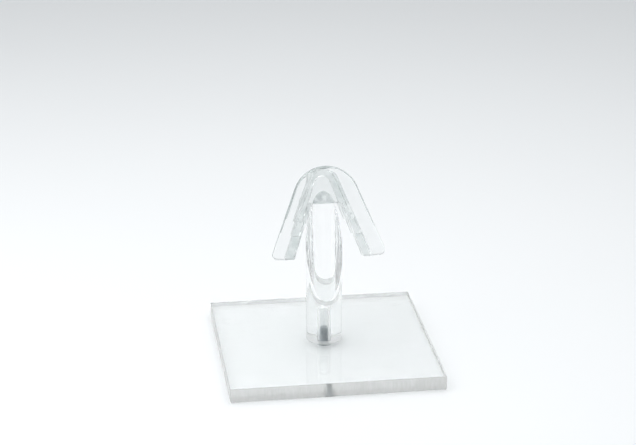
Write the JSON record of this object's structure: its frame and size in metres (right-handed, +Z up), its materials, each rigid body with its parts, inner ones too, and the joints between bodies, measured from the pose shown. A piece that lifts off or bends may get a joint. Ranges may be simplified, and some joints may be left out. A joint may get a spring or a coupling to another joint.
{
  "type": "eyeglass display stand",
  "caption": "Clear countertop eyewear stand: flat square base, round post cut on a slant, and a nose-shaped saddle with a front lip. The post turns on the screw in its foot.",
  "frame": {"origin": "centre of the base plate's underside", "axes": "+Z up along the post's axis, which the head turns about; the nose saddle faces -Y; +X is to the right seen from the front, along the base plate's front edge"},
  "size_m": [0.07, 0.07, 0.0666],
  "materials": {
    "clear_acrylic": "clear, polished",
    "clear_moulding": "clear, injection moulded",
    "screw_steel": "plain turned steel"
  },
  "bodies": {
    "base": {"base_plate": "clear_acrylic"},
    "head": {"post": "clear_acrylic", "nose_rest": "clear_moulding", "screw": "screw_steel"}
  },
  "joints": [
    {"name": "head_swivel", "type": "hinge", "parent": "base", "child": "head", "pos_m": [0, 0, 0.0048], "axis": [0, 0, 1], "continuous": true}
  ]
}
